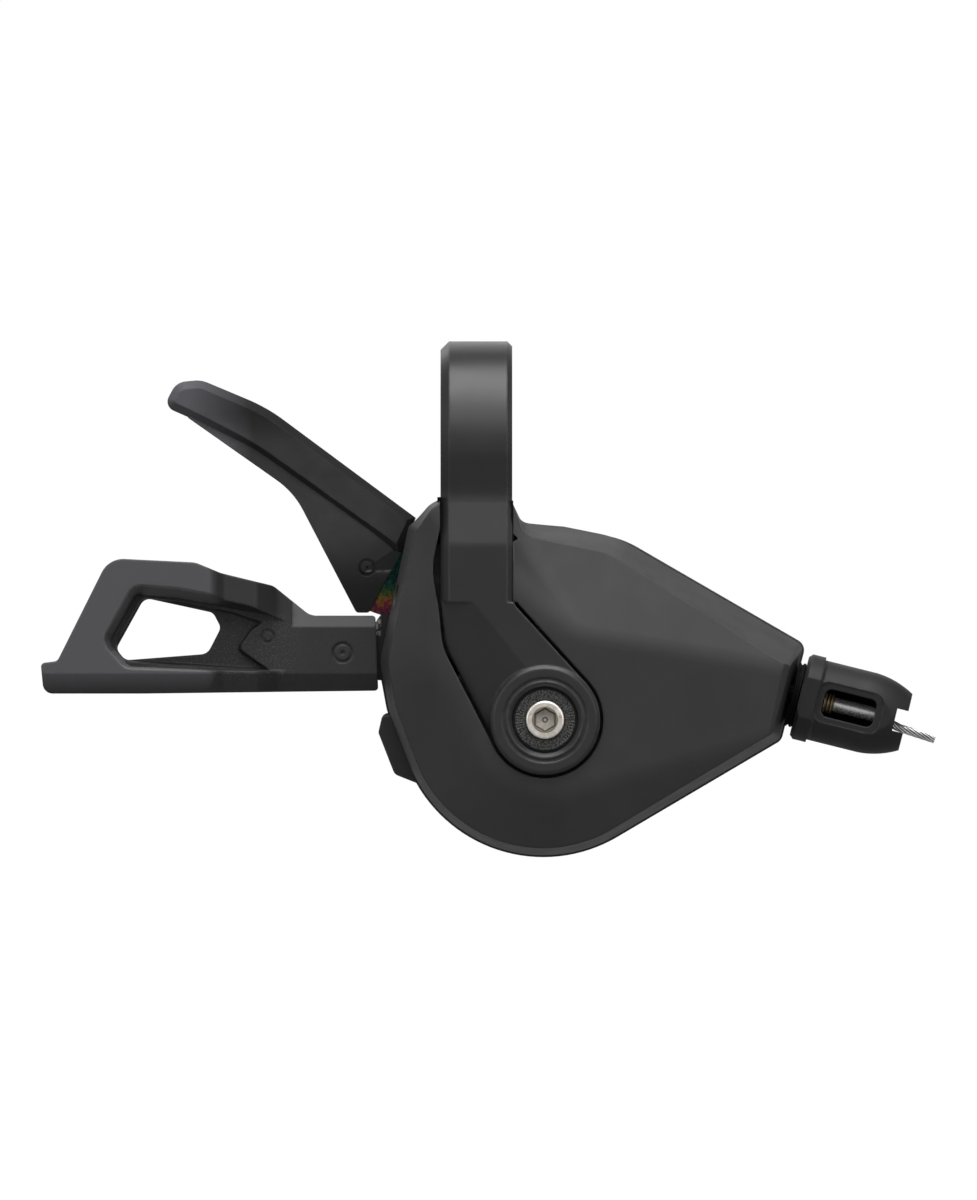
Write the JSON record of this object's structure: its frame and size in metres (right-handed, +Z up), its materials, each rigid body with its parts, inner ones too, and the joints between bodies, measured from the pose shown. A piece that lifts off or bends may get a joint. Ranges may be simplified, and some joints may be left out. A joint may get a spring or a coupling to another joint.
{
  "type": "trigger gear shifter",
  "caption": "Bicycle trigger gear shifter with a band clamp for a handlebar, a solid thumb paddle, a windowed release lever, a ratcheted cable drum and a cable adjuster knob.",
  "frame": {"origin": "middle of the handlebar bore, on the bar's axis, halfway across the clamp band", "axes": "+X along the bar towards the cable outlet, +Z up from the pod to the bar, -Y towards the clamp bolt"},
  "size_m": [0.1262, 0.041, 0.0728],
  "materials": {
    "cover_plastic": "fine moulded satin",
    "pad_plastic": "fine moulded grain",
    "band_black": "satin black",
    "bolt_steel": "bright",
    "dark_steel": "serrated dark oxide",
    "alloy": "cast satin",
    "steel": "satin",
    "coloured_steel": "iridescent zinc",
    "spring_steel": "drawn wire",
    "drum_resin": "smooth",
    "brass": "turned",
    "rubber": "matte"
  },
  "bodies": {
    "housing": {"clamp_band": "band_black", "band_rivets": "steel", "clamp_washer": "dark_steel", "clamp_bolt": "bolt_steel", "bracket": "alloy", "main_axle": "steel", "axle_washer": "steel", "axle_nut": "steel", "support_plate": "steel", "spacer_posts": "steel", "cover_screws": "steel", "lever_spacer": "steel", "front_cover": "cover_plastic", "rear_cover": "cover_plastic", "hold_pawl_pin": "steel", "adjuster_tube": "steel", "brass_sleeve": "brass", "knob_seal": "rubber", "inner_cable": "steel", "drum_spring": "spring_steel", "main_spring": "spring_steel", "release_spring": "spring_steel", "hold_pawl_spring": "spring_steel"},
    "drum": {"winding_drum": "drum_resin", "hold_ratchet": "steel", "wind_ratchet": "steel", "cable_nipple": "steel"},
    "main_lever": {"main_plate": "coloured_steel", "main_pad": "pad_plastic", "wind_pawl_pin": "steel", "wind_pawl_spring": "spring_steel"},
    "wind_pawl": {"wind_pawl": "steel"},
    "release_lever": {"release_plate": "steel", "release_pad": "pad_plastic"},
    "hold_pawl": {"hold_pawl": "steel"},
    "casing_seat": {"casing_seat": "steel"},
    "adjuster": {"adjuster_knob": "cover_plastic"}
  },
  "joints": [
    {"name": "main_lever_pivot", "type": "hinge", "parent": "housing", "child": "main_lever", "pos_m": [0.00972, 0, -0.03877], "axis": [0, 1, 0], "range_deg": [-30, 0], "stiffness_Nm_per_rad": 0.06, "springref_deg": 28.65, "deforming": ["main_spring"]},
    {"name": "release_lever_pivot", "type": "hinge", "parent": "housing", "child": "release_lever", "pos_m": [0.00972, 0, -0.03877], "axis": [0, 1, 0], "range_deg": [-10, 10], "stiffness_Nm_per_rad": 0.4, "deforming": ["release_spring"]},
    {"name": "drum_spin", "type": "hinge", "parent": "housing", "child": "drum", "pos_m": [0.00972, 0, -0.03877], "axis": [0, 1, 0], "range_deg": [-165, 0], "stiffness_Nm_per_rad": 0.01, "springref_deg": 57.3, "deforming": ["drum_spring", "inner_cable"]},
    {"name": "wind_pawl_pivot", "type": "hinge", "parent": "main_lever", "child": "wind_pawl", "pos_m": [0.01492, 0, -0.05305], "axis": [0, 1, 0], "range_deg": [-7.5, 0], "stiffness_Nm_per_rad": 0.01, "deforming": ["wind_pawl_spring"]},
    {"name": "hold_pawl_pivot", "type": "hinge", "parent": "housing", "child": "hold_pawl", "pos_m": [0.02631, 0, -0.03935], "axis": [0, 1, 0], "range_deg": [-7, 0], "stiffness_Nm_per_rad": 0.01, "deforming": ["hold_pawl_spring"]},
    {"name": "adjuster_advance", "type": "slide", "parent": "housing", "child": "casing_seat", "axis": [0.9703, 0, -0.2419], "range_m": [0, 0.0016]},
    {"name": "adjuster_turn", "type": "hinge", "parent": "casing_seat", "child": "adjuster", "pos_m": [0.0456, -0.0044, -0.0354], "axis": [0.9703, 0, -0.2419], "range_deg": [0, 720]}
  ],
  "couplings": [
    {"joint": "adjuster_turn", "follows": "adjuster_advance", "rad_per_m": 7854}
  ]
}
